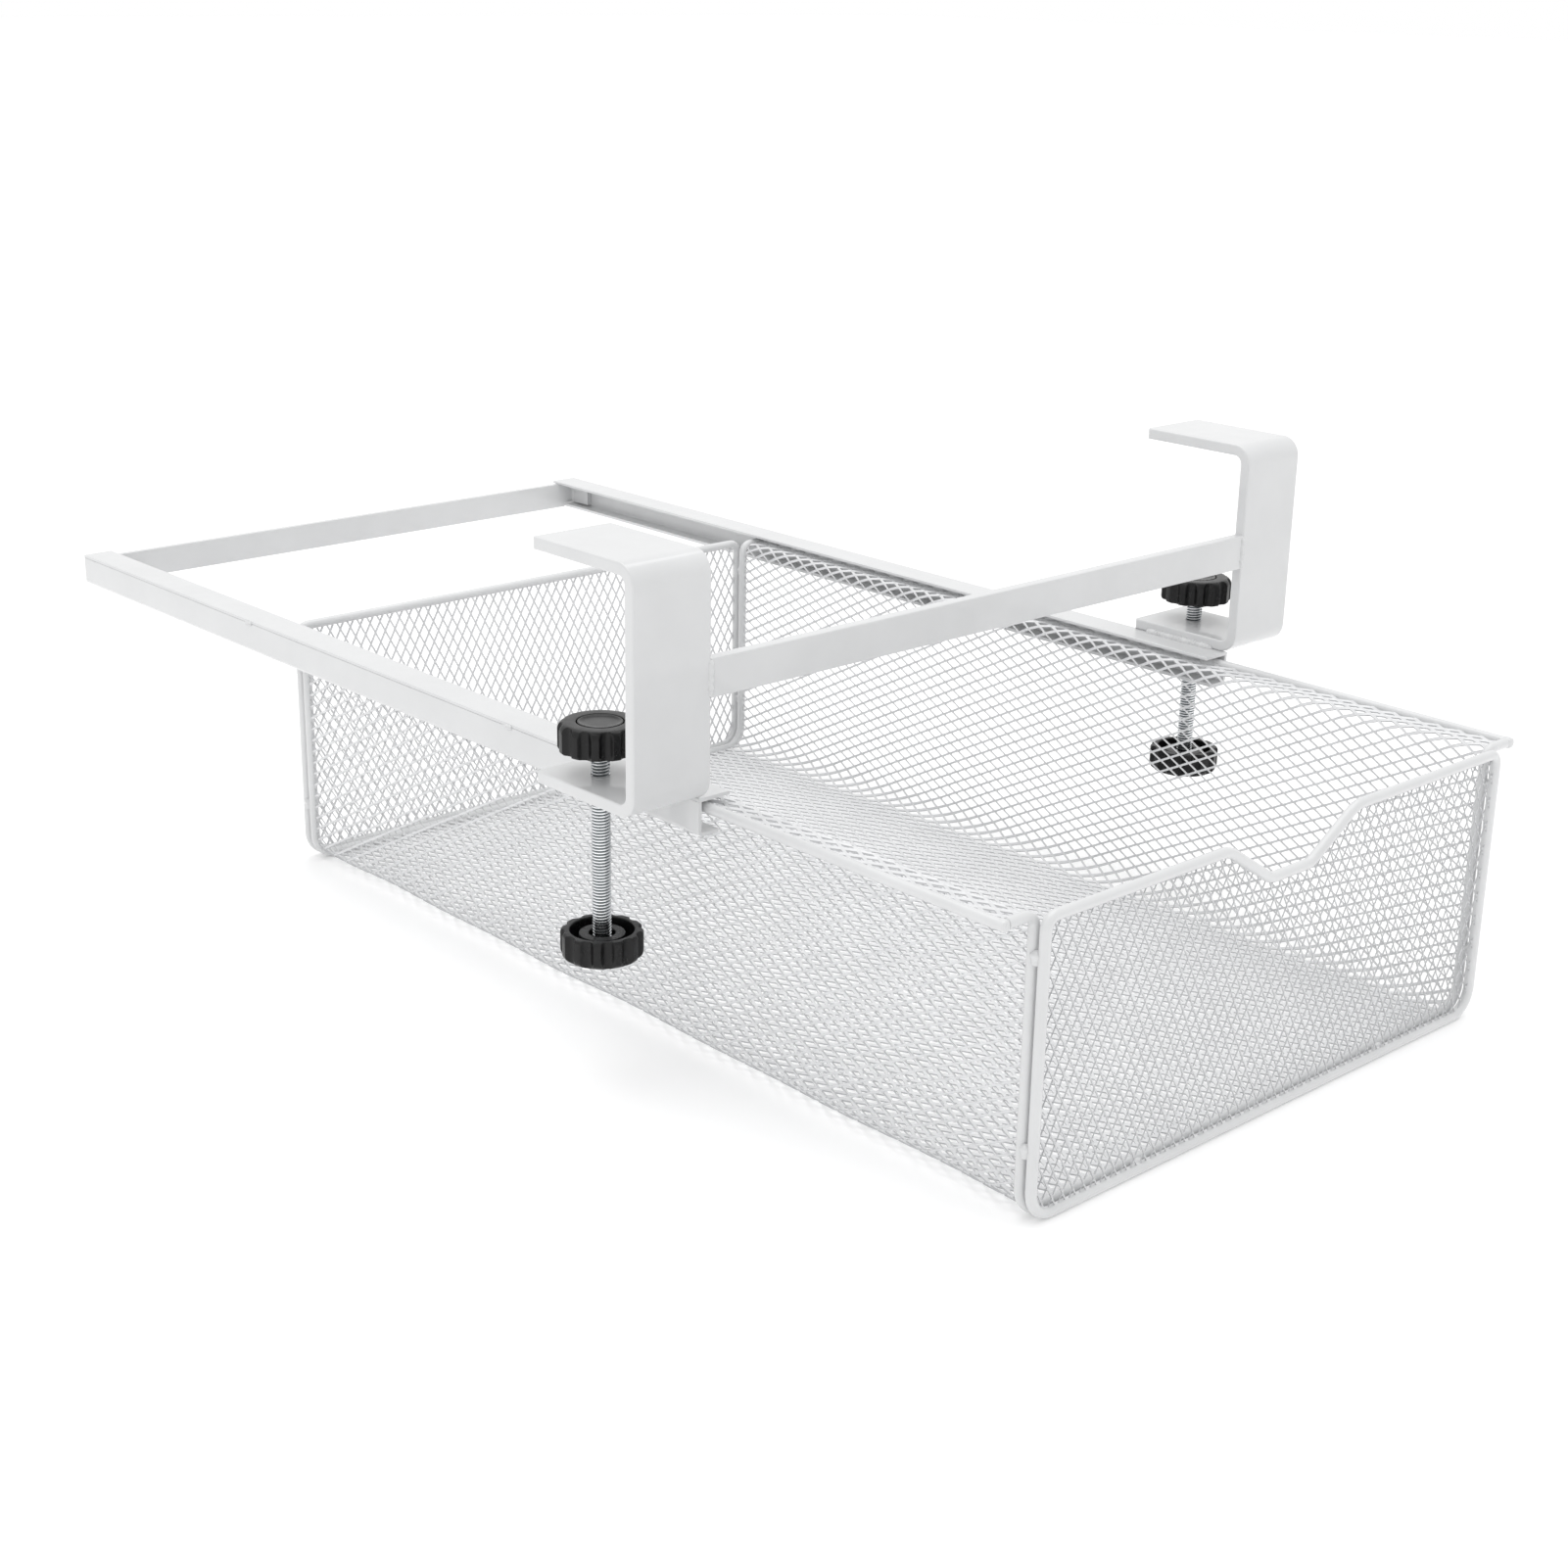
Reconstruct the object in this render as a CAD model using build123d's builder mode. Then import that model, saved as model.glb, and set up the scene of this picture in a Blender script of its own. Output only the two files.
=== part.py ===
from build123d import *
import os

# Under desk drawer: a welded frame clamps to the edge of a desk top, and a mesh tub slides in its rails.
# The origin is the middle of the cross bar's rear face, which the edge of the desk top meets.
# +X is the user's right, -Y is towards the user, +Z is up. Millimetres.

os.makedirs("parts", exist_ok=True)

SIDES = (("left", -1), ("right", 1))

# Clamp brackets, bent from flat strip into a C that opens to the rear
strip_width = 30.0
strip_thickness = 4.0
strip_bend = 5.0
strip_edge_round = 0.6
clamp_height = 78.0
arm_reach = 43.5
clamp_x = 143.5

# Cross bar, butt welded between the brackets
bar_height = 12.5
bar_edge_round = 0.5

# Rails, each an angle with a flat strip welded along its top, from the cross bar's rear face back
rail_half_span = 129.8
rail_height = 12.5
rail_sheet = 1.2
rail_bend = 1.2
rail_strip_width = 12.5
rail_strip_edge_round = 0.3
rail_bottom_flange = 8.0
rail_length = 401.0

# Rear bar, with its ends bent forward into the rails
rear_bar_thickness = 2.5
rear_bar_bend = 2.5
rear_bar_inset = 1.5
rear_tab_length = 14.0
rear_bar_side_gap = 1.0

# Clamp screws, M6, with a fluted knob below and a fluted pressure pad above
screw_radius = 3.0
screw_clearance = 0.05
screw_tip_chamfer = 0.6
screw_x = 145.3
screw_y = 28.5
pad_gap = 8.0
knob_drop = 47.5

# Moulded knob, the same moulding for the pad
knob_radius = 13.2
knob_height = 9.2
knob_edge_round = 2.2
knob_rim_inner = 10.3
knob_groove_depth = 6.0
knob_boss_radius = 7.4
knob_boss_drop = 1.2
knob_socket_depth = 7.0
knob_flutes = 12
flute_radius = 2.2
flute_circle = 14.4
cap_radius = 7.5
cap_clearance = 0.1
cap_thickness = 1.2
insert_radius = 4.2
insert_end = 5.7
insert_recess = 2.0
screw_end_gap = 0.2

# Drawer, wire frames and expanded mesh drawn as thin plain sheets. Its rims are near the top of their play
# in the rails, as when the whole object stands on the drawer.
wire_radius = 1.75
wire_end_round = 0.5
drawer_width = 228.0
drawer_height = 97.0
drawer_front_y = -126.0
drawer_rear_y = 259.0
frame_to_tub_gap = 0.8
drawer_corner = 9.0
panel_top_corner = 4.0
lip_bend = 4.0
rim_clearance = 1.0
rim_side_clearance = 1.3
mesh_thickness = 0.8
mesh_edge_gap = 0.02
notch_top_half = 32.0
notch_bottom_half = 10.0
notch_depth = 14.0
notch_top_bend = 12.0
notch_bottom_bend = 8.0

# Welds
bead_radius = 1.4
bead_steps = (-0.36, -0.12, 0.12, 0.36)
bead_rise = 0.6
rail_bead_radius = 1.8
rail_bead_inset = 6.0
stitch_radius = 0.9
stitch_length = 4.5
stitch_ends = (100.5, 268.5)
nub_radius = 1.5
nub_side_drops = (12.5, 72.0)
nub_floor_x = 62.0

# Heights that follow from the sizes above
clamp_top = clamp_height / 2
rail_top = -clamp_height / 2
rail_seam = rail_top - rail_sheet
rail_floor = rail_top - rail_height + rail_sheet
front_face_y = -strip_thickness
rail_rear_y = rail_length
arm_top = rail_top + strip_thickness
pad_rim_z = arm_top + pad_gap
knob_rim_z = rail_top - knob_drop
rim_z = rail_seam - rim_clearance - wire_radius
rim_x = rail_half_span - rail_sheet - rim_side_clearance - wire_radius
wall_x = drawer_width / 2 - wire_radius
floor_z = rim_z + wire_radius - drawer_height + wire_radius
tub_front_y = drawer_front_y + 2 * wire_radius + frame_to_tub_gap
tub_rear_y = drawer_rear_y - 2 * wire_radius - frame_to_tub_gap


def finish(part, name):
    part.label = name
    export_step(part, f"parts/{name}.step")


def facing_user(y):
    """A plane seen from the user's side at the depth y, with X and Z as its own axes."""
    return Plane.XZ.offset(-y)


def square_to(path):
    """A plane across the start of a path."""
    return Plane(origin=path @ 0, z_dir=path % 0)


# --- Welded frame -------------------------------------------------------------------------------

for side, sign in SIDES:
    web_x = sign * (rail_half_span - rail_sheet / 2)
    bottom_z = rail_floor - rail_sheet / 2
    with BuildPart() as rail:
        with BuildSketch(facing_user(rail_rear_y)):
            with BuildLine() as angle:
                FilletPolyline(
                    (web_x, rail_seam),
                    (web_x, bottom_z),
                    (sign * (rail_half_span - rail_bottom_flange), bottom_z),
                    radius=rail_bend,
                )
            trace(angle.line, line_width=rail_sheet)
        extrude(amount=rail_length)
    finish(rail.part, f"{side}_rail")

    with BuildPart() as rail_strip:
        with BuildSketch(facing_user(rail_rear_y)):
            with Locations((sign * (rail_half_span - rail_strip_width / 2), rail_top - rail_sheet / 2)):
                RectangleRounded(rail_strip_width, rail_sheet, rail_strip_edge_round)
        extrude(amount=rail_length)
    finish(rail_strip.part, f"{side}_rail_strip")

bar_rear_y = rail_rear_y - rear_bar_inset
tab_x = rail_half_span - rail_sheet - rear_bar_thickness / 2
tab_bottom = rail_floor + rail_bend / 2
rear_bar_height = rail_height - rail_sheet
with BuildPart() as rear_bar:
    with BuildSketch(Plane.XY.offset(tab_bottom)):
        with BuildLine() as bent_bar:
            FilletPolyline(
                (-tab_x, bar_rear_y - rear_tab_length),
                (-tab_x, bar_rear_y - rear_bar_thickness / 2),
                (tab_x, bar_rear_y - rear_bar_thickness / 2),
                (tab_x, bar_rear_y - rear_tab_length),
                radius=rear_bar_bend,
            )
        trace(bent_bar.line, line_width=rear_bar_thickness)
    extrude(amount=rail_seam - tab_bottom)
    with BuildSketch(facing_user(bar_rear_y)):
        with Locations((0, rail_seam - rear_bar_height / 2)):
            Rectangle(2 * (rail_half_span - rail_bottom_flange - rear_bar_side_gap), rear_bar_height)
    extrude(amount=rear_bar_thickness)
finish(rear_bar.part, "rear_bar")

for side, sign in SIDES:
    with BuildPart() as bracket:
        with BuildSketch(Plane.YZ.offset(sign * clamp_x - strip_width / 2)):
            with BuildLine() as strip:
                FilletPolyline(
                    (arm_reach, clamp_top - strip_thickness / 2),
                    (front_face_y / 2, clamp_top - strip_thickness / 2),
                    (front_face_y / 2, rail_top + strip_thickness / 2),
                    (arm_reach, rail_top + strip_thickness / 2),
                    radius=strip_bend,
                )
            trace(strip.line, line_width=strip_thickness)
        extrude(amount=strip_width)
        fillet(bracket.faces().filter_by(Axis.X).edges(), radius=strip_edge_round)
        with Locations((sign * screw_x, screw_y, arm_top)):
            Hole(radius=screw_radius + screw_clearance, depth=strip_thickness)
    finish(bracket.part, f"{side}_clamp_bracket")

bar_half_length = clamp_x - strip_width / 2
with BuildPart() as cross_bar:
    with BuildSketch(Plane.YZ.offset(-bar_half_length)):
        with Locations((front_face_y / 2, 0)):
            RectangleRounded(strip_thickness, bar_height, bar_edge_round)
    extrude(amount=2 * bar_half_length)
finish(cross_bar.part, "cross_bar")

bead_heights = [bar_height * step for step in bead_steps]
with BuildPart() as weld_beads:
    for side, sign in SIDES:
        bead_spots = [
            (sign * bar_half_length, front_face_y - bead_rise + bead_radius, z) for z in bead_heights
        ]
        with Locations(*bead_spots):
            Sphere(bead_radius)
        bead_depth = front_face_y + strip_thickness / 2
        with Locations((sign * bar_half_length, bead_depth, 0)):
            Box(2 * bead_radius, strip_thickness, bar_height + bead_radius, mode=Mode.SUBTRACT)
        with BuildSketch(facing_user(arm_reach - rail_bead_inset)):
            with Locations((sign * bar_half_length, rail_top)):
                Circle(rail_bead_radius)
            with Locations((sign * (bar_half_length + rail_bead_radius), rail_top)):
                Rectangle(2 * rail_bead_radius, 2 * rail_bead_radius, mode=Mode.SUBTRACT)
            with Locations((sign * bar_half_length, rail_top - rail_bead_radius)):
                Rectangle(2 * rail_bead_radius, 2 * rail_bead_radius, mode=Mode.SUBTRACT)
        extrude(amount=arm_reach - 2 * rail_bead_inset)
        for y in stitch_ends:
            with BuildSketch(facing_user(y)):
                with Locations((sign * rail_half_span, rail_seam)):
                    Circle(stitch_radius)
                with Locations((sign * (rail_half_span - stitch_radius), rail_seam)):
                    Rectangle(2 * stitch_radius, 2 * stitch_radius, mode=Mode.SUBTRACT)
            extrude(amount=stitch_length)
finish(weld_beads.part, "weld_beads")

# --- Clamp screws, knobs and pressure pads -----------------------------------------------------


def knob_plane(x, z, closed_up):
    """A half section plane on the screw's axis: its own Y runs from the open rim to the closed face."""
    return Plane(origin=(x, screw_y, z), x_dir=(1, 0, 0), z_dir=(0, -1 if closed_up else 1, 0))


def knob_outline():
    """The moulding's half section: fluted wall, annular groove, boss with its insert and a closed face."""
    bore = screw_radius + screw_clearance
    cap_floor = knob_height - cap_thickness
    bend_start = knob_height - knob_edge_round
    Polyline(
        (0, cap_floor),
        (0, knob_socket_depth),
        (bore, knob_socket_depth),
        (bore, insert_end),
        (insert_radius, insert_end),
        (insert_radius, knob_boss_drop),
        (knob_boss_radius, knob_boss_drop),
        (knob_boss_radius, knob_groove_depth),
        (knob_rim_inner, knob_groove_depth),
        (knob_rim_inner, 0),
        (knob_radius, 0),
        (knob_radius, bend_start),
    )
    RadiusArc(
        (knob_radius, bend_start),
        (knob_radius - knob_edge_round, knob_height),
        -knob_edge_round,
    )
    Polyline(
        (knob_radius - knob_edge_round, knob_height),
        (cap_radius, knob_height),
        (cap_radius, cap_floor),
        (0, cap_floor),
    )


for side, sign in SIDES:
    x = sign * screw_x
    axis = Axis((x, screw_y, 0), (0, 0, 1))
    for piece, insert_name, cap_name, rim, closed_up in (
        ("turn_knob", "knob_insert", "knob_cap", knob_rim_z, False),
        ("pressure_pad", "pad_bush", "pad_cap", pad_rim_z, True),
    ):
        section = knob_plane(x, rim, closed_up)
        direction = 1 if closed_up else -1
        with BuildPart() as knob:
            with BuildSketch(section):
                with BuildLine():
                    knob_outline()
                make_face()
            revolve(axis=axis)
            with BuildSketch(Plane((x, screw_y, rim))):
                with PolarLocations(flute_circle, knob_flutes):
                    Circle(flute_radius)
            extrude(amount=direction * knob_height, mode=Mode.SUBTRACT)
        finish(knob.part, f"{side}_{piece}")

        # The knob's insert grips the screw, and the pad's bush lets the screw's tip turn.
        bore = screw_radius + (screw_clearance if closed_up else 0)
        insert_start = knob_boss_drop + insert_recess
        with BuildPart() as insert:
            with BuildSketch(Plane((x, screw_y, rim + direction * insert_start))):
                Circle(insert_radius)
                Circle(bore, mode=Mode.SUBTRACT)
            extrude(amount=direction * (insert_end - insert_start))
        finish(insert.part, f"{side}_{insert_name}")

        with BuildPart() as cap:
            with BuildSketch(Plane((x, screw_y, rim + direction * (knob_height - cap_thickness)))):
                Circle(cap_radius - cap_clearance)
            extrude(amount=direction * cap_thickness)
            fillet(cap.edges().filter_by(GeomType.CIRCLE), radius=cap_thickness / 4)
        finish(cap.part, f"{side}_{cap_name}")

    screw_bottom = knob_rim_z - knob_socket_depth + screw_end_gap
    screw_top = pad_rim_z + knob_socket_depth - screw_end_gap
    with BuildPart() as screw:
        with BuildSketch(Plane((x, screw_y, screw_bottom))):
            Circle(screw_radius)
        extrude(amount=screw_top - screw_bottom)
        chamfer(screw.edges().filter_by(GeomType.CIRCLE), length=screw_tip_chamfer)
    finish(screw.part, f"{side}_clamp_screw")

# --- Drawer -------------------------------------------------------------------------------------


def panel_outline(notched):
    """The centre line of a panel's wire frame, with a finger notch in the front panel's top."""
    corners = [(-wall_x, floor_z), (-wall_x, rim_z)]
    bends = [drawer_corner, panel_top_corner]
    if notched:
        corners += [(-notch_top_half, rim_z), (-notch_bottom_half, rim_z - notch_depth)]
        corners += [(notch_bottom_half, rim_z - notch_depth), (notch_top_half, rim_z)]
        bends += [notch_top_bend, notch_bottom_bend, notch_bottom_bend, notch_top_bend]
    corners += [(wall_x, rim_z), (wall_x, floor_z)]
    bends += [panel_top_corner, drawer_corner]
    FilletPolyline(*corners, radius=bends, close=True)


def tub_outline(lip_x):
    """The centre line of the tub's cross section, from one lip's edge to the other's."""
    FilletPolyline(
        (-lip_x, rim_z),
        (-wall_x, rim_z),
        (-wall_x, floor_z),
        (wall_x, floor_z),
        (wall_x, rim_z),
        (lip_x, rim_z),
        radius=[lip_bend, drawer_corner, drawer_corner, lip_bend],
    )


panels = (("front", drawer_front_y, True), ("back", drawer_rear_y, False))
frames = {}
for panel, y, notched in panels:
    with BuildPart() as frame_wire:
        with BuildLine(facing_user(y)) as outline:
            panel_outline(notched)
        with BuildSketch(square_to(outline.line)):
            Circle(wire_radius)
        sweep(path=outline.line)
    frames[panel] = frame_wire.part
    finish(frame_wire.part, f"{panel}_frame")

    with BuildPart() as panel_mesh:
        with BuildSketch(facing_user(y)):
            with BuildLine():
                panel_outline(notched)
            make_face()
            offset(amount=-wire_radius - mesh_edge_gap, mode=Mode.REPLACE)
        extrude(amount=mesh_thickness / 2, both=True)
    finish(panel_mesh.part, f"{panel}_mesh")

tub_wires = {}
for end, y in (("front", tub_front_y), ("rear", tub_rear_y)):
    with BuildPart() as tub_wire:
        with BuildLine(facing_user(y)) as outline:
            tub_outline(rim_x - wire_radius)
        with BuildSketch(square_to(outline.line)):
            Circle(wire_radius)
        sweep(path=outline.line)
    tub_wires[end] = tub_wire.part
    finish(tub_wire.part, f"tub_{end}_wire")

mesh_front_y = tub_front_y + wire_radius + mesh_edge_gap
mesh_rear_y = tub_rear_y - wire_radius - mesh_edge_gap
with BuildPart() as tub_mesh:
    with BuildSketch(facing_user(mesh_rear_y)):
        with BuildLine() as outline:
            tub_outline(rim_x - wire_radius - mesh_edge_gap)
        trace(outline.line, line_width=mesh_thickness)
    extrude(amount=mesh_rear_y - mesh_front_y)
finish(tub_mesh.part, "tub_mesh")

rim_front_y = tub_front_y - wire_radius
rim_rear_y = tub_rear_y + wire_radius
for side, sign in SIDES:
    with BuildPart() as rim_wire:
        with BuildSketch(facing_user(rim_rear_y)):
            with Locations((sign * rim_x, rim_z)):
                Circle(wire_radius)
        extrude(amount=rim_rear_y - rim_front_y)
        fillet(rim_wire.edges().filter_by(GeomType.CIRCLE), radius=wire_end_round)
    finish(rim_wire.part, f"{side}_rim_wire")

nub_spots = [(sign * wall_x, rim_z - drop) for side, sign in SIDES for drop in nub_side_drops]
nub_spots += [(sign * nub_floor_x, floor_z) for side, sign in SIDES]
for name, frame_y, frame_part, tub_y, tub_part in (
    ("front_weld_nubs", drawer_front_y, frames["front"], tub_front_y, tub_wires["front"]),
    ("rear_weld_nubs", drawer_rear_y, frames["back"], tub_rear_y, tub_wires["rear"]),
):
    far_y = max(frame_y, tub_y)
    with BuildPart() as nubs:
        with BuildSketch(facing_user(far_y)):
            with Locations(*nub_spots):
                Circle(nub_radius)
        extrude(amount=abs(frame_y - tub_y))
        add(frame_part, mode=Mode.SUBTRACT)
        add(tub_part, mode=Mode.SUBTRACT)
    finish(nubs.part, name)
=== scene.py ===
import bmesh
import bpy
import math
import numpy as np
from mathutils import Matrix, Vector


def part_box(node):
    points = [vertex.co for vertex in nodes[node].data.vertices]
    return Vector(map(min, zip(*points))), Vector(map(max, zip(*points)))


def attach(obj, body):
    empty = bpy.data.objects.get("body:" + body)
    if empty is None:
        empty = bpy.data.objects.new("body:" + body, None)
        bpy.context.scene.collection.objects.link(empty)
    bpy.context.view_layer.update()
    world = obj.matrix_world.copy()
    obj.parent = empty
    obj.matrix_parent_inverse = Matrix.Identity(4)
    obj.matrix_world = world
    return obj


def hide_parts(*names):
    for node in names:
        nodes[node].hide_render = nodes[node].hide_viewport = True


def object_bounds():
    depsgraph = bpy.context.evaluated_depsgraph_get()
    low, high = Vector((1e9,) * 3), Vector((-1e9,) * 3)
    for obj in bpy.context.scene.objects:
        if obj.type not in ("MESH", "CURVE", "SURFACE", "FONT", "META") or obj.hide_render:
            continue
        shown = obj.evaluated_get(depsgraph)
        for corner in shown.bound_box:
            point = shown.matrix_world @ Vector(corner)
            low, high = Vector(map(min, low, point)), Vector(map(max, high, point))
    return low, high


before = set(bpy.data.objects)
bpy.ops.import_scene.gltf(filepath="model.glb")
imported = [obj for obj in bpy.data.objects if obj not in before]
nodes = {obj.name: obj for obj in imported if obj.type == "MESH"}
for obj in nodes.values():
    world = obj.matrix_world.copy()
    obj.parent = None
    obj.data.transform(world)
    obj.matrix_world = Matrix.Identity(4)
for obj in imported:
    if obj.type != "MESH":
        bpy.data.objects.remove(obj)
cad_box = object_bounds()
MM = 0.001

# --- Materials -----------------------------------------------------------------------------------


def feed(socket, value):
    """Links an input to the socket that drives it, or sets it to a plain value."""
    if isinstance(value, bpy.types.NodeSocket):
        socket.id_data.links.new(value, socket)
    else:
        socket.default_value = value


def feed_all(inputs, values):
    """Feeds the inputs that are named, with _ for each space in a name."""
    for key, value in values.items():
        name = key.replace("_", " ")
        feed(next(s for s in inputs if s.name == name and s.enabled), value)


def new_material(name):
    """An empty node material: a function that adds nodes, its shader and its object coordinates."""
    material = bpy.data.materials.new(name)
    material.use_nodes = True
    material.node_tree.nodes.clear()

    def make(kind, settings=None, **inputs):
        node = material.node_tree.nodes.new(kind)
        for key, value in (settings or {}).items():
            setattr(node, key, value)
        feed_all(node.inputs, inputs)
        return node

    shader = make("ShaderNodeBsdfPrincipled")
    make("ShaderNodeOutputMaterial", Surface=shader.outputs[0])
    return material, make, shader, make("ShaderNodeTexCoord").outputs["Object"]


def mottled(make, where, scale, low=0.0, high=1.0):
    """A number that wanders between low and high over the surface."""
    noise = make("ShaderNodeTexNoise", Vector=where, Scale=scale, Detail=3.0, Roughness=0.55).outputs[0]
    ranged = make("ShaderNodeMapRange", Value=noise, From_Min=0.3, From_Max=0.7, To_Min=low, To_Max=high)
    return ranged.outputs[0]


def toned(make, amount, dark, light):
    """The colour between dark and light at an amount from 0 to 1."""
    ramp = make("ShaderNodeValToRGB", Fac=amount)
    ramp.color_ramp.elements[0].color = (*dark, 1)
    ramp.color_ramp.elements[1].color = (*light, 1)
    return ramp.outputs[0]


def grained(make, where, scale, roughness, strength, depth):
    """A surface normal disturbed by a fine grain of the given depth."""
    grain = make("ShaderNodeTexNoise", Vector=where, Scale=scale, Detail=2.0, Roughness=roughness)
    return make("ShaderNodeBump", Strength=strength, Distance=depth, Height=grain.outputs[0]).outputs[0]


def computed(make, operation, *operands):
    """The result of a math node on sockets or numbers."""
    node = make("ShaderNodeMath", {"operation": operation})
    for socket, value in zip(node.inputs, operands):
        feed(socket, value)
    return node.outputs[0]


def powder_coat(name, dark, light, peel_depth, peel_scale=900.0, cut_edge=None):
    """White powder coat: faint mottling, orange peel, and, where a wall shade colour is given, painted shade
    that greys the faces marked as strand walls.
    """
    material, make, shader, where = new_material(name)
    colour = toned(make, mottled(make, where, scale=45.0), dark, light)
    if cut_edge is not None:
        # Painted shade: faces marked as walls take a darker grey, standing in for the shade on the strands'
        # sides.
        wall_shade_mask = make("ShaderNodeAttribute", {"attribute_name": "cut_edge"}).outputs["Fac"]
        lighter_wall_shade = [c * 1.15 for c in cut_edge]
        wall_shade_tone = toned(make, mottled(make, where, scale=800.0), cut_edge, lighter_wall_shade)
        blend = make("ShaderNodeMix", {"data_type": "RGBA"}, Factor=wall_shade_mask, A=colour, B=wall_shade_tone)
        colour = next(o for o in blend.outputs if o.enabled)
    feed_all(shader.inputs, {
        "Base Color": colour,
        "Roughness": mottled(make, where, scale=160.0, low=0.32, high=0.42),
        "Normal": grained(make, where, peel_scale, roughness=0.4, strength=0.5, depth=peel_depth),
        "IOR": 1.45,
        "Coat Weight": 0.8,
        "Coat Roughness": 0.07,
    })
    return material


def moulded(name, dark, light, roughness, grain_depth):
    """Black moulded plastic with a fine spark-eroded grain and faint flow marks."""
    material, make, shader, where = new_material(name)
    feed_all(shader.inputs, {
        "Base Color": toned(make, mottled(make, where, scale=220.0), dark, light),
        "Roughness": mottled(make, where, scale=420.0, low=roughness - 0.05, high=roughness + 0.06),
        "Normal": grained(make, where, scale=3200.0, roughness=0.6, strength=0.35, depth=grain_depth),
        "IOR": 1.36,
    })
    return material


def screw_metal(name, dark, light, roughness, root, crest):
    """Metal coloured darker towards the root's radius from either screw's axis and lighter towards the
    crest's: painted shade in the hollows.
    """
    material, make, shader, where = new_material(name)
    split = make("ShaderNodeSeparateXYZ", Vector=where)
    outward = computed(make, "ABSOLUTE", split.outputs["X"])
    aside = computed(make, "SUBTRACT", outward, screw_centre.x)
    along = computed(make, "SUBTRACT", split.outputs["Y"], screw_centre.y)
    joined = make("ShaderNodeCombineXYZ", X=aside, Y=along)
    reach = make("ShaderNodeVectorMath", {"operation": "LENGTH"}, Vector=joined.outputs[0])
    height = make("ShaderNodeMapRange", Value=reach.outputs["Value"], From_Min=root, From_Max=crest)
    cloud = mottled(make, where, scale=500.0, low=0.82, high=1.0)
    shade = computed(make, "MULTIPLY", height.outputs[0], cloud)
    feed_all(shader.inputs, {
        "Base Color": toned(make, shade, dark, light),
        "Roughness": mottled(make, where, scale=700.0, low=roughness - 0.04, high=roughness + 0.06),
        "Metallic": 1.0,
        "Specular Tint": (0.3, 0.31, 0.32, 1),
    })
    return material


# The two screws stand at the same distance on either side, so one material fits both.
screw_low, screw_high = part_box("right_clamp_screw")
screw_centre = (screw_low + screw_high) / 2
screw_radius = (screw_high.x - screw_low.x) / 2

frame_paint = powder_coat(
    "frame_powder_coat", dark=(0.605, 0.61, 0.615), light=(0.635, 0.64, 0.645), peel_depth=0.04 * MM
)
weld_paint = powder_coat(
    "weld_powder_coat", dark=(0.595, 0.6, 0.605), light=(0.64, 0.645, 0.65), peel_depth=0.1 * MM,
    peel_scale=1500.0,
)
wire_paint = powder_coat(
    "wire_powder_coat", dark=(0.62, 0.625, 0.63), light=(0.66, 0.665, 0.67), peel_depth=0.03 * MM
)
# The mesh paint greys its strand walls with painted shade.
mesh_paint = powder_coat(
    "mesh_powder_coat", dark=(0.67, 0.675, 0.685), light=(0.73, 0.735, 0.745), peel_depth=0.02 * MM,
    peel_scale=1800.0, cut_edge=(0.46, 0.465, 0.475),
)
knob_black = moulded(
    "knob_moulding", dark=(0.004, 0.004, 0.0042), light=(0.008, 0.008, 0.0083), roughness=0.3,
    grain_depth=0.012 * MM,
)
cap_black = moulded(
    "cap_moulding", dark=(0.004, 0.004, 0.0042), light=(0.007, 0.007, 0.0072), roughness=0.22,
    grain_depth=0.006 * MM,
)
# Painted shade: the rod's colour darkens towards its thread's root, standing in for the shade in the thread's
# valleys.
zinc = screw_metal(
    "zinc_plate", dark=(0.22, 0.24, 0.25), light=(0.93, 0.94, 0.95), roughness=0.2,
    root=screw_radius - 0.55 * MM, crest=screw_radius - 0.05 * MM,
)
# Painted shade: the inserts and bushes are coloured near black and darkest next to the rod, standing in for
# the shade in the bore around it.
shaded_insert_metal = screw_metal(
    "turned_insert", dark=(0.06, 0.062, 0.064), light=(0.12, 0.122, 0.125), roughness=0.3,
    root=screw_radius, crest=screw_radius + 1.2 * MM,
)

# --- Mesh helpers --------------------------------------------------------------------------------


def add_piece(name, points, faces, material, body, smooth=True, replaces=(), wall_shades=None):
    """A mesh object from points and faces in the frame's coordinates, which rides on a body."""
    mesh = bpy.data.meshes.new(name)
    mesh.from_pydata([tuple(p) for p in points], [], [tuple(int(i) for i in f) for f in faces])
    mesh.materials.append(material)
    mesh.polygons.foreach_set("use_smooth", [smooth] * len(mesh.polygons))
    # The faces marked here get the mesh paint's painted shade.
    if wall_shades is not None:
        mesh.attributes.new("cut_edge", "FLOAT", "FACE").data.foreach_set("value", wall_shades)
    piece = bpy.data.objects.new(name, mesh)
    bpy.context.scene.collection.objects.link(piece)
    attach(piece, body)
    if replaces:
        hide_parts(*replaces)
    return piece


def grid_faces(rings, around):
    """Quads of a tube that closes on itself: rings of points, each with the same number around."""
    faces = []
    for lower in range(0, (rings - 1) * around, around):
        upper = lower + around
        for a in range(around):
            b = (a + 1) % around
            faces.append((lower + a, lower + b, upper + b, upper + a))
    return faces


def ring_points(centre_x, centre_y, radius, z, around):
    """Points around a vertical axis at one height."""
    angles = [2 * math.pi * a / around for a in range(around)]
    return [(centre_x + radius * math.cos(t), centre_y + radius * math.sin(t), z) for t in angles]


def sharpen(piece, degrees):
    """Marks the edges steeper than this as sharp, so that only the others are shaded smooth."""
    work = bmesh.new()
    work.from_mesh(piece.data)
    for edge in work.edges:
        if len(edge.link_faces) == 2 and edge.calc_face_angle() > math.radians(degrees):
            edge.smooth = False
    work.to_mesh(piece.data)
    work.free()


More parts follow.
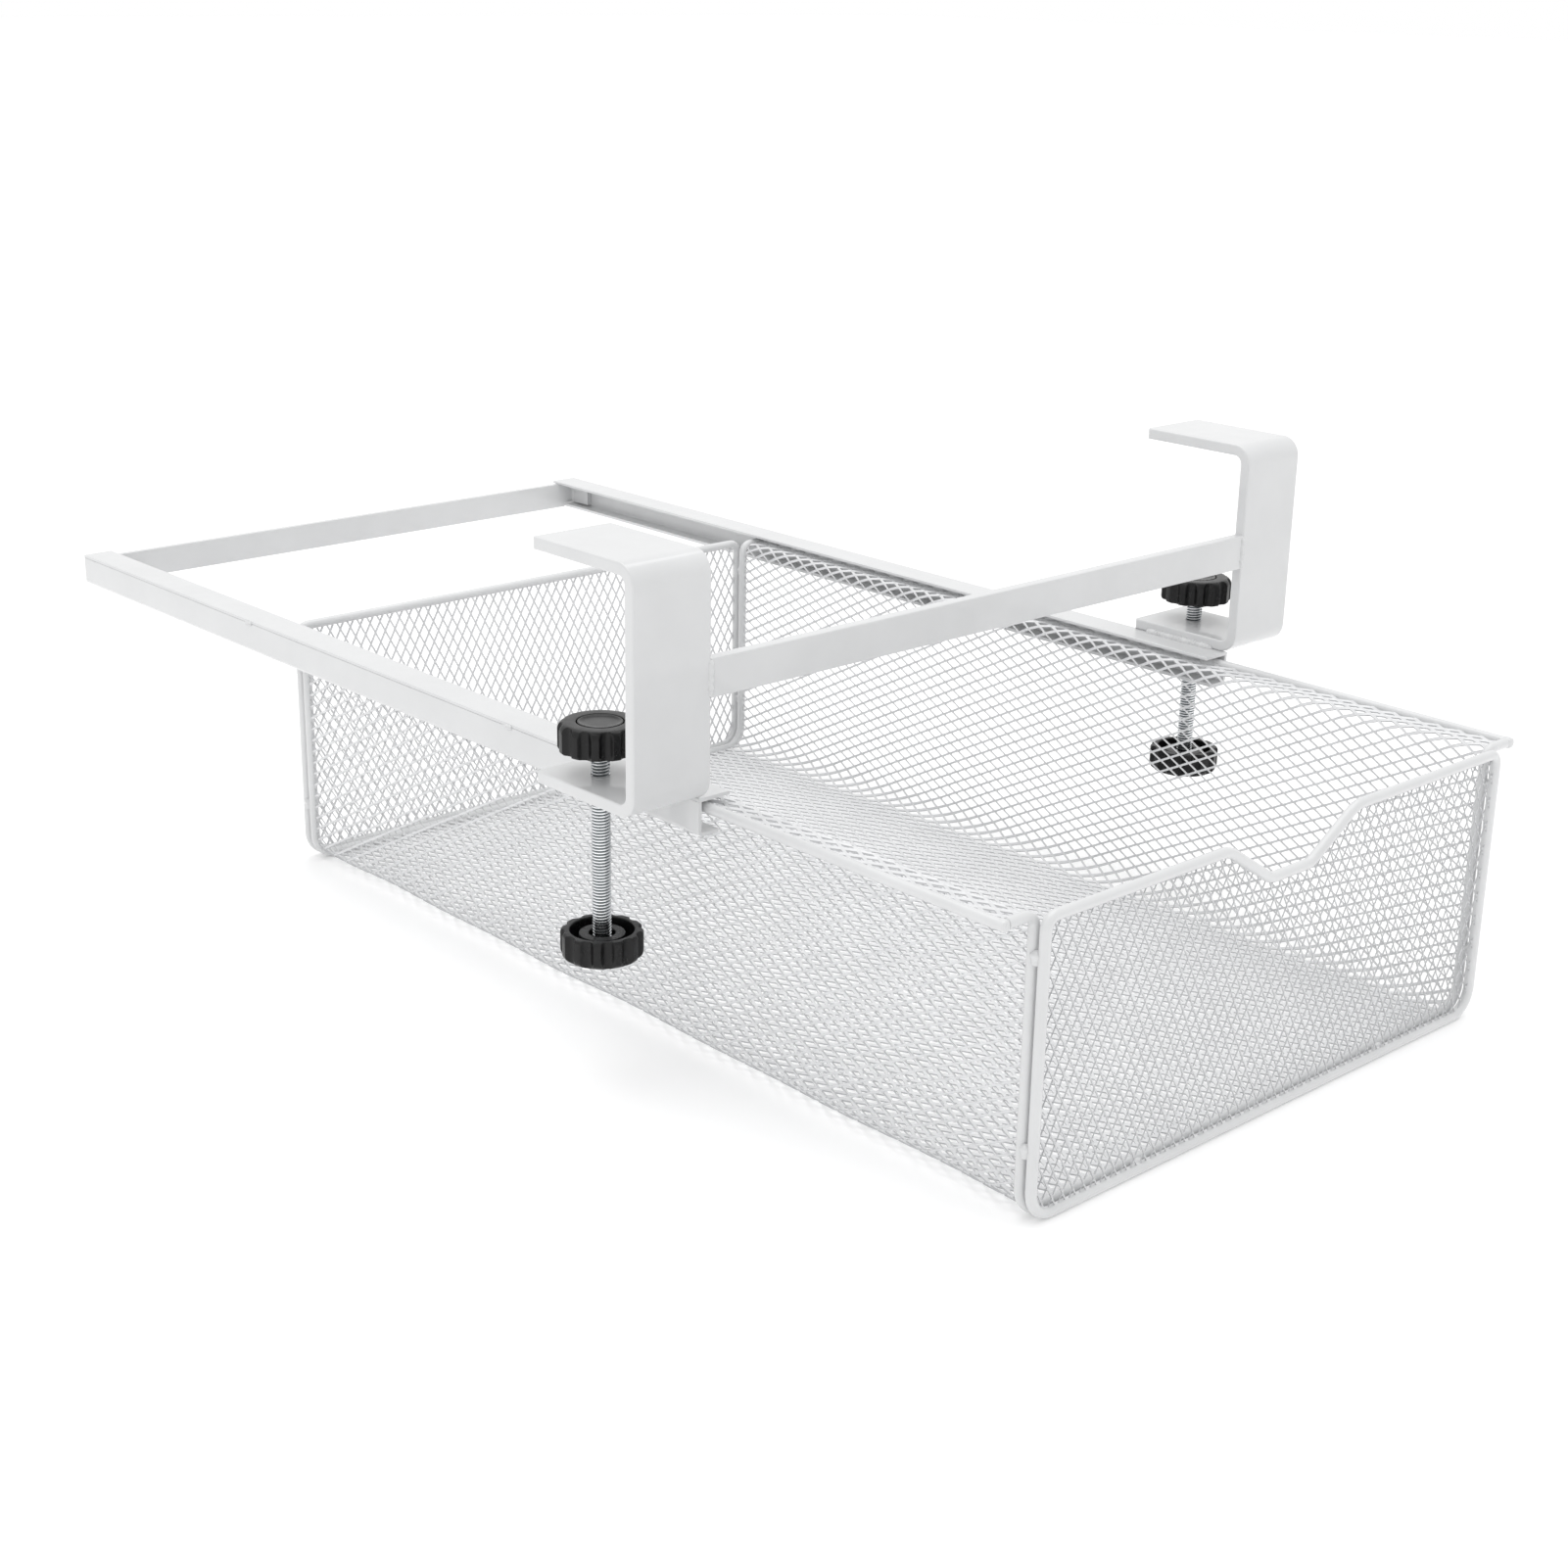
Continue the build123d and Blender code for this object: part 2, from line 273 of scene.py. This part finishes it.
def rounded_line(corners, bends, steps):
    """Points along a line with right-angled corners, each rounded to its bend radius."""
    line = [Vector(corners[0])]
    for k in range(1, len(corners) - 1):
        here = Vector(corners[k])
        back = (Vector(corners[k - 1]) - here).normalized()
        ahead = (Vector(corners[k + 1]) - here).normalized()
        centre = here + (back + ahead) * bends[k]
        start, end = -ahead * bends[k], -back * bends[k]
        for s in range(steps + 1):
            angle = math.pi / 2 * s / steps
            line.append(centre + start * math.cos(angle) + end * math.sin(angle))
    line.append(Vector(corners[-1]))
    return np.array(line)


# --- Expanded metal ------------------------------------------------------------------------------

SHEET = 0.45 * MM  # thickness
CELL_SHORT = 4.6 * MM  # one diamond across
CELL_LONG = 8.8 * MM  # one diamond along
BOND = 0.12 * MM  # half the length of the bond between two diamonds
BLUNT_TIP = 0.12 * MM  # half the width of a diamond's blunt ends
BOND_SHARE = 0.62  # a bond's half width, in strand widths
SLACK = 1e-7  # in metres, points closer than this are one


def expanded_metal(width, length, strand, tilt):
    """A flat sheet of diamonds, long way along v: points (u, v, height), faces and which are walls, the cut
    edges that get painted shade.
    """
    columns = round(width / CELL_SHORT)
    rows = round(length / CELL_LONG)
    short, long = width / columns, length / rows
    slope = math.hypot(short, long) / long
    half_u = short / 2 - strand * BOND_SHARE
    tip_v = long / 2 - (strand / 2 * slope + BLUNT_TIP) * long / short
    # One cell: its four corners, which it shares with its neighbours, then the eight corners of its hole.
    ring = [(half_u, -BOND), (half_u, BOND), (BLUNT_TIP, tip_v), (-BLUNT_TIP, tip_v)]
    ring += [(-u, -v) for u, v in ring]
    corners = [(short / 2, 0), (0, long / 2), (-short / 2, 0), (0, -long / 2)]
    flat = np.array(corners + ring)
    # The strands lean, so the hole's edge stands proud on one side and low on the other.
    lean = np.array([0.0] * len(corners) + [-tilt if u > 0 else tilt for u, v in ring])
    top_faces = [(0, 5, 4), (0, 1, 6, 5), (1, 7, 6), (1, 2, 8, 7), (2, 9, 8), (2, 3, 10, 9), (3, 11, 10)]
    top_faces.append((3, 0, 4, 11))
    count = len(flat)
    first, around = len(corners), len(ring)
    wall_faces = []
    for a in range(around):
        here, ahead = first + a, first + (a + 1) % around
        wall_faces.append((here, ahead, count + ahead, count + here))
    faces = top_faces + [tuple(i + count for i in reversed(f)) for f in top_faces] + wall_faces
    template = np.concatenate([
        np.column_stack([flat, lean + SHEET / 2]),
        np.column_stack([flat, lean - SHEET / 2]),
    ])
    centres = [(i * short, j * long) for i in range(columns + 1) for j in range(rows + 1)]
    centres += [((i + 0.5) * short, (j + 0.5) * long) for i in range(columns) for j in range(rows)]
    centres = np.array(centres)
    points = (template[None] + np.column_stack([centres, np.zeros(len(centres))])[:, None]).reshape(-1, 3)
    # Only the faces whose middle is on the sheet are kept.
    middles = np.array([template[list(f)].mean(0)[:2] for f in faces])
    kept = []
    walls = []
    for k, centre in enumerate(centres):
        where = middles + centre
        inside = (where[:, 0] > -SLACK) & (where[:, 0] < width + SLACK)
        inside &= (where[:, 1] > -SLACK) & (where[:, 1] < length + SLACK)
        for f in np.flatnonzero(inside):
            kept.append([i + k * len(template) for i in faces[f]])
            walls.append(float(f >= 2 * len(top_faces)))
    # Neighbouring cells share their corners, and corners that no kept face uses are dropped.
    used = np.unique(np.concatenate(kept))
    keys, index = np.unique(np.round(points[used] / SLACK).astype(np.int64), axis=0, return_inverse=True)
    place = np.zeros(len(points), dtype=int)
    place[used] = index.ravel()
    return keys * SLACK, [tuple(place[f]) for f in kept], walls


def wander(a, b, size):
    """A smooth unevenness between -1 and 1, for sheet that is never quite flat."""
    # The odd factors keep its two waves from falling into step.
    turn = 2 * math.pi / size
    one = np.sin(a * turn + 1.3 * np.sin(b * turn * 0.7))
    other = np.sin(b * turn * 1.3 + 2.1 + a * turn * 0.4)
    return (one + other) / 2


# Where the middles of the drawer's wires are, because its sheets reach to them.
front_low, front_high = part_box("front_frame")
wire_radius = (front_high.y - front_low.y) / 2
wall_x = front_high.x - wire_radius
floor_z = front_low.z + wire_radius
rim_z = front_high.z - wire_radius
front_y = (front_high.y + front_low.y) / 2
back_y = sum(b.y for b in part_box("back_frame")) / 2
rim_x = sum(b.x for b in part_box("right_rim_wire")) / 2
tub_front_y = sum(b.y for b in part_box("tub_front_wire")) / 2
tub_rear_y = sum(b.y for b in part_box("tub_rear_wire")) / 2
CORNER = 9 * MM
TOP_CORNER = 4 * MM
LIP_BEND = 4 * MM
BEND_STEPS = 24

# How far each sheet strays from flat, over what distance, and how far from its edges it starts to.
TUB_WAVE = 0.5 * MM
TUB_WAVE_LENGTH = 95 * MM
TUB_STIFF_EDGE = 25 * MM
PANEL_WAVE = 0.35 * MM
PANEL_WAVE_LENGTH = 80 * MM


def section_line():
    """Closely spaced points along the tub's section, from the left rim to the right one."""
    left_half = [(-rim_x, rim_z), (-wall_x, rim_z), (-wall_x, floor_z)]
    right_half = [(-x, z) for x, z in reversed(left_half)]
    return rounded_line(left_half + right_half, [0, LIP_BEND, CORNER, CORNER, LIP_BEND, 0], BEND_STEPS)


def tub_sheet(name, strand, tilt):
    """The tub, one sheet from rim wire to rim wire, which follows the section of its two profile wires."""
    line = section_line()
    gaps = np.linalg.norm(np.diff(line, axis=0), axis=1)
    run = np.concatenate([[0], np.cumsum(gaps)])
    length = tub_rear_y - tub_front_y
    points, faces, walls = expanded_metal(run[-1], length, strand, tilt)
    along, depth, height = points.T
    step = 0.4 * MM
    here = np.array([np.interp(along, run, line[:, k]) for k in range(2)])
    ahead = np.array([np.interp(along + step, run, line[:, k]) for k in range(2)])
    behind = np.array([np.interp(along - step, run, line[:, k]) for k in range(2)])
    way = ahead - behind
    way /= np.linalg.norm(way, axis=0)
    edge = np.minimum(np.minimum(along, run[-1] - along), np.minimum(depth, length - depth))
    loose = np.clip(edge / TUB_STIFF_EDGE, 0, 1) * TUB_WAVE
    lift = height + loose * wander(along, depth, TUB_WAVE_LENGTH)
    x = here[0] - way[1] * lift
    z = here[1] + way[0] * lift
    place = np.column_stack([x, tub_front_y + depth, z])
    add_piece(name, place, faces, mesh_paint, "drawer", False, ["tub_mesh"], walls)


# The finger notch in the front panel's top: half widths at its top and bottom, and its depth.
NOTCH_TOP = 32 * MM
NOTCH_BOTTOM = 10 * MM
NOTCH_DEPTH = 14 * MM
CORNER_CUTS = (15, 35, 55, 75)  # degrees around a corner at which straight cuts touch its arc


def cut_away(work, point, outward, near=None):
    """Removes what lies beyond a line in the panel, or only splits the faces there if near is given."""
    geometry = list(work.verts) + list(work.edges) + list(work.faces)
    if near is not None:
        faces = [f for f in work.faces if abs(f.calc_center_median().x) < near]
        edges = {e for f in faces for e in f.edges}
        verts = {v for f in faces for v in f.verts}
        geometry = list(verts) + list(edges) + faces
    bmesh.ops.bisect_plane(
        work, geom=geometry, plane_co=(point[0], 0, point[1]), plane_no=(outward[0], 0, outward[1]),
        clear_outer=near is None, dist=SLACK,
    )


def cut_corners(work):
    """Rounds a panel's sheet to the middle of its wire frame."""
    for sx in (-1, 1):
        for sz, z, bend in ((-1, floor_z, CORNER), (1, rim_z, TOP_CORNER)):
            centre = (sx * (wall_x - bend), z - sz * bend)
            for degrees in CORNER_CUTS:
                angle = math.radians(degrees)
                outward = (sx * math.cos(angle), sz * math.sin(angle))
                cut_away(work, (centre[0] + outward[0] * bend, centre[1] + outward[1] * bend), outward)


def cut_notch(work):
    """Splits the sheet's faces along the finger notch, and deletes the ones above it."""
    low = rim_z - NOTCH_DEPTH
    near = NOTCH_TOP + CELL_LONG
    run = NOTCH_TOP - NOTCH_BOTTOM
    cut_away(work, (0, low), (0, 1), near)
    for sx in (-1, 1):
        cut_away(work, (sx * NOTCH_BOTTOM, low), (-sx * NOTCH_DEPTH, run), near)
    doomed = []
    for face in work.faces:
        middle = face.calc_center_median()
        above = middle.z - low
        if above > 0 and abs(middle.x) < NOTCH_BOTTOM + run * above / NOTCH_DEPTH:
            doomed.append(face)
    bmesh.ops.delete(work, geom=doomed, context="FACES")


def panel_sheet(name, node, y, strand, tilt, notched=False):
    """A front or back panel, cut to the middle of its wire frame."""
    tall = rim_z - floor_z
    points, faces, walls = expanded_metal(2 * wall_x, tall, strand, tilt)
    across, up, height = points.T
    bulge = PANEL_WAVE * wander(across, up, PANEL_WAVE_LENGTH) * np.sin(np.pi * up / tall)
    place = np.column_stack([across - wall_x, y - height + bulge, up + floor_z])
    panel = add_piece(name, place, faces, mesh_paint, "drawer", False, [node], walls)
    work = bmesh.new()
    work.from_mesh(panel.data)
    cut_corners(work)
    if notched:
        cut_notch(work)
    work.to_mesh(panel.data)
    work.free()


tub_sheet("tub_expanded_mesh", strand=0.8 * MM, tilt=0.24 * MM)
panel_sheet("front_expanded_mesh", "front_mesh", front_y, strand=0.8 * MM, tilt=-0.28 * MM, notched=True)
panel_sheet("back_expanded_mesh", "back_mesh", back_y, strand=0.56 * MM, tilt=0.08 * MM)

# --- Welds ---------------------------------------------------------------------------------------

BEAD_AROUND = 14
BEAD_STEP = 0.22 * MM
FEWEST_RINGS = 9
# As shares of a bead's radius: its end rings' radius, and how far its ripples and lumps rise.
BEAD_END = 0.08
RIPPLE_RISE = 0.1
UNEVEN_RISE = 0.06
LUMP_RISE = 0.05


def weld_bead(name, start, end, radius, body, slot, material, ripple=1.3 * MM, replaces=()):
    """A weld run between two points: a rippled tube with rounded ends, half sunk into what it joins."""
    start, end = Vector(start), Vector(end)
    along = (end - start).normalized()
    side = along.orthogonal().normalized()
    other = along.cross(side)
    length = (end - start).length
    rings = max(FEWEST_RINGS, round(length / BEAD_STEP))
    points = []
    for r in range(rings + 1):
        run = length * r / rings
        inset = min(run, length - run)
        rounding = math.sqrt(max(0.0, 1 - (1 - min(1.0, inset / radius)) ** 2))
        taper = rounding * (1 - BEAD_END) + BEAD_END
        # The odd factors keep the ripples and lumps from repeating.
        wave = 1 + RIPPLE_RISE * math.cos(2 * math.pi * run / ripple)
        wave += UNEVEN_RISE * math.sin(5.3 * run / ripple + 1.7)
        for a in range(BEAD_AROUND):
            angle = 2 * math.pi * a / BEAD_AROUND
            lump = 1 + LUMP_RISE * math.sin(3 * angle + 4.1 * run / ripple)
            r_here = radius * taper * wave * lump
            points.append(start + along * run + (side * math.cos(angle) + other * math.sin(angle)) * r_here)
    faces = grid_faces(rings + 1, BEAD_AROUND)
    faces.append(tuple(reversed(range(BEAD_AROUND))))
    faces.append(tuple(rings * BEAD_AROUND + a for a in range(BEAD_AROUND)))
    add_piece(name, points, faces, material, body, True, replaces)


# On the frame, welds run up the cross bar's ends, along the lower arms, and in stitches on the rail seams.
bar_low, bar_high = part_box("cross_bar")
strip_low, strip_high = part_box("right_rail_strip")
ON_FRAME = ("frame", "weld_paint", weld_paint)
BAR_BEAD_RADIUS = 1.2 * MM
BAR_BEAD_DEPTH = 0.55 * MM  # in from the bar's front face
BAR_BEAD_GAP = 0.3 * MM  # to the bar's top and bottom
BAR_BEAD_RIPPLE = 2.6 * MM
ARM_BEAD = (6 * MM, 37.5 * MM)  # from and to, along the arm
ARM_BEAD_RADIUS = 1.6 * MM
STITCHES = (96 * MM, 264 * MM)
STITCH_LENGTH = 4.5 * MM
STITCH_RADIUS = 0.85 * MM

for side, sign in (("left", -1), ("right", 1)):
    joint_x = sign * bar_high.x
    bead_y = bar_low.y + BAR_BEAD_DEPTH
    weld_bead(
        f"{side}_bar_end_weld", (joint_x, bead_y, bar_low.z + BAR_BEAD_GAP),
        (joint_x, bead_y, bar_high.z - BAR_BEAD_GAP), BAR_BEAD_RADIUS, *ON_FRAME, BAR_BEAD_RIPPLE,
        ["weld_beads"] if side == "left" else (),
    )
    weld_bead(
        f"{side}_arm_weld", (joint_x, ARM_BEAD[0], strip_high.z), (joint_x, ARM_BEAD[1], strip_high.z),
        ARM_BEAD_RADIUS, *ON_FRAME,
    )
    seam_x = sign * strip_high.x
    for k, y in enumerate(STITCHES):
        weld_bead(
            f"{side}_rail_stitch_{k}", (seam_x, y, strip_low.z), (seam_x, y + STITCH_LENGTH, strip_low.z),
            STITCH_RADIUS, *ON_FRAME,
        )

# On the drawer, nubs join each panel's frame to the tub's profile wire, whose ends are welded to the rims.
ON_DRAWER = ("drawer", "wire_paint", wire_paint)
NUB_DROPS = (12.5 * MM, 72 * MM)  # from the rim down to the nubs on a wall
NUB_RISE = 2.6 * MM  # from there up to a nub's top
NUB_LENGTH = 4.8 * MM
NUB_RADIUS = 1.7 * MM
NUB_OUT = 0.8 * MM  # outward from the middle of the wires
NUB_RIPPLE = 3.1 * MM
FLOOR_NUB_X = 62 * MM
FLOOR_NUB_HALF = 2.6 * MM
FLOOR_NUB_RADIUS = 1.55 * MM
RIM_WELD_IN = 3.4 * MM  # how far it starts inside the rim wire
RIM_WELD_OUT = 1.4 * MM  # and ends outside it
RIM_WELD_RADIUS = 1.9 * MM
RIM_WELD_RIPPLE = 3.3 * MM

for end, panel_y, tub_y in (("front", front_y, tub_front_y), ("rear", back_y, tub_rear_y)):
    nub_y = (panel_y + tub_y) / 2
    for side, sign in (("left", -1), ("right", 1)):
        nub_x = sign * (wall_x + NUB_OUT)
        for k, drop in enumerate(NUB_DROPS):
            top = rim_z - drop + NUB_RISE
            weld_bead(
                f"{end}_{side}_nub_{k}", (nub_x, nub_y, top - NUB_LENGTH), (nub_x, nub_y, top), NUB_RADIUS,
                *ON_DRAWER, NUB_RIPPLE, [f"{end}_weld_nubs"] if (side, k) == ("left", 0) else (),
            )
        floor_x = sign * FLOOR_NUB_X
        weld_bead(
            f"{end}_{side}_floor_nub", (floor_x - FLOOR_NUB_HALF, nub_y, floor_z),
            (floor_x + FLOOR_NUB_HALF, nub_y, floor_z), FLOOR_NUB_RADIUS, *ON_DRAWER, NUB_RIPPLE,
        )
        weld_bead(
            f"{end}_{side}_rim_weld", (sign * (rim_x - RIM_WELD_IN), tub_y, rim_z),
            (sign * (rim_x + RIM_WELD_OUT), tub_y, rim_z), RIM_WELD_RADIUS, *ON_DRAWER, RIM_WELD_RIPPLE,
        )

# --- Clamp screws and knobs ----------------------------------------------------------------------

PITCH = 1.0 * MM
THREAD_DEPTH = 0.55  # in pitches
THREAD_CLEARANCE = 0.02 * MM
THREAD_AROUND = 36
END_CHAMFER = 0.6 * MM  # the length over which the rod's ends are chamfered
END_RISE = 0.4 * MM  # how much wider the chamfer leaves an end than root less chamfer
THREAD_MERGE = 0.001 * MM  # the rings that the rod's ends flatten are merged


def threaded_rod(name, node, body):
    """A rod with a rolled right-hand thread, whose profile climbs one pitch in each turn."""
    low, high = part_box(node)
    cx, cy = (low.x + high.x) / 2, (low.y + high.y) / 2
    crest = (high.x - low.x) / 2 - THREAD_CLEARANCE
    root = crest - THREAD_DEPTH * PITCH
    # The share of a pitch at which each radius is reached: a root, a flank up, a crest and a flank down.
    profile = [(0.0, root), (0.06, root), (0.34, crest), (0.62, crest), (0.9, root)]
    points = []
    for turn in range(-1, round((high.z - low.z) / PITCH) + 2):
        for share, radius in profile:
            for a in range(THREAD_AROUND):
                angle = 2 * math.pi * a / THREAD_AROUND
                z = low.z + (turn + share + a / THREAD_AROUND) * PITCH
                z = min(max(z, low.z), high.z)
                inset = min(z - low.z, high.z - z)
                r = min(radius, root - END_CHAMFER + inset + END_RISE) if inset < END_CHAMFER else radius
                points.append((cx + r * math.cos(angle), cy + r * math.sin(angle), z))
    # The helix does not close on itself: a ring's last column joins the first one a turn further up.
    rings = len(points) // THREAD_AROUND
    turn_up = len(profile) * THREAD_AROUND
    faces = []
    for lower in range(0, (rings - 1) * THREAD_AROUND, THREAD_AROUND):
        upper = lower + THREAD_AROUND
        for a in range(THREAD_AROUND - 1):
            faces.append((lower + a, lower + a + 1, upper + a + 1, upper + a))
        if upper + turn_up < len(points):
            faces.append((upper - 1, lower + turn_up, upper + turn_up, upper + THREAD_AROUND - 1))
    piece = add_piece(name, points, faces, zinc, body, True, [node])
    work = bmesh.new()
    work.from_mesh(piece.data)
    bmesh.ops.remove_doubles(work, verts=work.verts, dist=THREAD_MERGE)
    bmesh.ops.dissolve_degenerate(work, dist=SLACK, edges=work.edges)
    bmesh.ops.holes_fill(work, edges=[e for e in work.edges if e.is_boundary])
    bmesh.ops.recalc_face_normals(work, faces=work.faces)
    work.to_mesh(piece.data)
    work.free()
    sharpen(piece, degrees=35)


KNOB_RADIUS = 13.2 * MM
KNOB_BEND_STEPS = 8
FLUTES = 12
FLUTE_STEPS = 24
FLUTE_RADIUS = 2.2 * MM
FLUTE_CIRCLE = 13.7 * MM  # the radius on which the flutes' middles lie


def knob_profile():
    """(radius, height) down the knob's half section, from the closed face's cap seat to the bore."""
    # The corners and their bend radii are in mm.
    corners = [(7.5, 8.0), (7.5, 9.2), (13.2, 9.2), (13.2, 0), (10.3, 0), (10.3, 6.0), (7.4, 6.0), (7.4, 1.2)]
    corners += [(4.25, 1.2), (4.25, 5.7)]
    return rounded_line(corners, [0, 0.3, 2.4, 1.0, 0.4, 0.4, 0.4, 0.3, 0.3, 0], KNOB_BEND_STEPS) * MM


def flute_depth(angle):
    """How far a flute cuts into the knob's wall at an angle around it."""
    turn = 2 * math.pi / FLUTES
    off = (angle + turn / 2) % turn - turn / 2
    across = FLUTE_CIRCLE * math.sin(off)
    if abs(across) >= FLUTE_RADIUS:
        return 0.0
    return max(0.0, KNOB_RADIUS - FLUTE_CIRCLE * math.cos(off) + math.sqrt(FLUTE_RADIUS ** 2 - across ** 2))


def fluted_knob(name, node, body, closed_up):
    """A moulded knob with flutes down its wall, and an annular groove and a boss on its open face."""
    low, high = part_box(node)
    cx, cy = (low.x + high.x) / 2, (low.y + high.y) / 2
    rim = low.z if closed_up else high.z
    way = 1 if closed_up else -1
    around = FLUTES * FLUTE_STEPS
    profile = knob_profile()
    points = []
    for radius, height in profile:
        for a in range(around):
            angle = 2 * math.pi * a / around
            r = min(radius, KNOB_RADIUS - flute_depth(angle))
            points.append((cx + r * math.cos(angle), cy + r * math.sin(angle), rim + way * height))
    faces = grid_faces(len(profile), around)
    if closed_up:
        faces = [tuple(reversed(f)) for f in faces]
    piece = add_piece(name, points, faces, knob_black, body, True, [node])
    sharpen(piece, degrees=50)


CAP_AROUND = 72
CAP_DISH = 0.5
# From the dish to the rim: the share of the cap's radius, and how many mm the surface lies below its face.
CAP_PROFILE = (
    (0.3, CAP_DISH), (0.55, CAP_DISH), (0.7, 0.45), (0.79, 0.32), (0.85, 0.12), (0.89, 0.02), (0.925, 0.0),
    (0.95, 0.06), (0.962, 0.3),
)
CAP_SKIRT = 0.965


def cap_disc(name, node, body, closed_up):
    """The round cap on a knob's closed face, slightly dished and with a soft edge."""
    low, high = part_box(node)
    cx, cy = (low.x + high.x) / 2, (low.y + high.y) / 2
    radius = (high.x - low.x) / 2
    face, seat = (high.z, low.z) if closed_up else (low.z, high.z)
    inward = -1 if closed_up else 1
    points = []
    for share, drop in CAP_PROFILE:
        points += ring_points(cx, cy, radius * share, face + inward * drop * MM, CAP_AROUND)
    points += ring_points(cx, cy, radius * CAP_SKIRT, seat, CAP_AROUND)
    points.append((cx, cy, face + inward * CAP_DISH * MM))
    centre = len(points) - 1
    faces = grid_faces(len(CAP_PROFILE) + 1, CAP_AROUND)
    faces += [(centre, (a + 1) % CAP_AROUND, a) for a in range(CAP_AROUND)]
    if closed_up:
        faces = [tuple(reversed(f)) for f in faces]
    add_piece(name, points, faces, cap_black, body, True, [node])


for side in ("left", "right"):
    threaded_rod(f"{side}_threaded_rod", f"{side}_clamp_screw", f"{side}_screw")
    fluted_knob(f"{side}_fluted_knob", f"{side}_turn_knob", f"{side}_screw", closed_up=False)
    fluted_knob(f"{side}_fluted_pad", f"{side}_pressure_pad", f"{side}_pad", closed_up=True)
    cap_disc(f"{side}_knob_cap_disc", f"{side}_knob_cap", f"{side}_screw", closed_up=False)
    cap_disc(f"{side}_pad_cap_disc", f"{side}_pad_cap", f"{side}_pad", closed_up=True)

# --- Finishes on the carried-over nodes ----------------------------------------------------------

FINISHES = (
    (("left_rail", "right_rail", "left_rail_strip", "right_rail_strip", "rear_bar"), frame_paint),
    (("left_clamp_bracket", "right_clamp_bracket", "cross_bar"), frame_paint),
    (("front_frame", "back_frame", "tub_front_wire", "tub_rear_wire"), wire_paint),
    (("left_rim_wire", "right_rim_wire"), wire_paint),
    (("left_knob_insert", "right_knob_insert", "left_pad_bush", "right_pad_bush"), shaded_insert_metal),
)
for names, material in FINISHES:
    for name in names:
        nodes[name].data.materials.clear()
        nodes[name].data.materials.append(material)

# --- Floor and light, in metres and watts --------------------------------------------------------

FLOOR_HALF = 12.0
ground_z = cad_box[0].z
floor_corners = [(sx * FLOOR_HALF, sy * FLOOR_HALF) for sx, sy in ((-1, -1), (1, -1), (1, 1), (-1, 1))]
floor_mesh = bpy.data.meshes.new("floor")
floor_mesh.from_pydata([(*corner, ground_z) for corner in floor_corners], [], [(0, 1, 2, 3)])
floor_material, _, floor_shader, _ = new_material("pale_floor")
feed_all(floor_shader.inputs, {
    "Base Color": (0.93, 0.93, 0.93, 1),
    "Roughness": 0.7,
    "Emission Color": (1, 1, 1, 1),
    "Emission Strength": 0.12,
})
floor_mesh.materials.append(floor_material)
floor = bpy.data.objects.new("floor", floor_mesh)
bpy.context.scene.collection.objects.link(floor)

world = bpy.data.worlds.new("studio")
bpy.context.scene.world = world
world.use_nodes = True
background = world.node_tree.nodes["Background"]
background.inputs["Color"].default_value = (1.0, 1.0, 1.0, 1)
background.inputs["Strength"].default_value = 1.0


def softbox(name, place, target, width, height, watts):
    """A rectangular area light that faces a point."""
    light = bpy.data.lights.new(name, "AREA")
    light.shape = "RECTANGLE"
    light.size = width
    light.size_y = height
    light.energy = watts
    lamp = bpy.data.objects.new(name, light)
    lamp.location = place
    lamp.rotation_mode = "QUATERNION"
    lamp.rotation_quaternion = (Vector(target) - Vector(place)).to_track_quat("-Z", "Y")
    bpy.context.scene.collection.objects.link(lamp)


middle = (cad_box[0] + cad_box[1]) / 2
softbox("top_softbox", place=(0.1, 0.3, 1.5), target=middle, width=1.6, height=1.6, watts=10)
softbox("left_softbox", place=(-1.3, -0.1, 0.55), target=middle, width=0.22, height=0.8, watts=0.5)

# --- Camera --------------------------------------------------------------------------------------

CAMERA_PLACE = (-0.5708, -0.5178, 0.202)
YAW, PITCH_DOWN, ROLL = (math.radians(a) for a in (42.6, 19.12, -1.01))
FOCAL_PX = 2416.7
FRAME_PX = 1601.0

camera_data = bpy.data.cameras.new("camera")
camera_data.sensor_width = 36.0
camera_data.lens = FOCAL_PX / FRAME_PX * camera_data.sensor_width
camera_data.clip_start = 0.05
camera_data.clip_end = 60
camera = bpy.data.objects.new("camera", camera_data)
level = math.cos(PITCH_DOWN)
ahead = Vector((math.sin(YAW) * level, math.cos(YAW) * level, -math.sin(PITCH_DOWN)))
aside = Vector((math.cos(YAW), -math.sin(YAW), 0))
down = ahead.cross(aside)
right = aside * math.cos(ROLL) + down * math.sin(ROLL)
lower = down * math.cos(ROLL) - aside * math.sin(ROLL)
turned = Matrix((right, -lower, -ahead)).transposed().to_4x4()
camera.matrix_world = Matrix.Translation(CAMERA_PLACE) @ turned
bpy.context.scene.collection.objects.link(camera)
bpy.context.scene.camera = camera
bpy.context.scene.view_settings.view_transform = "Standard"
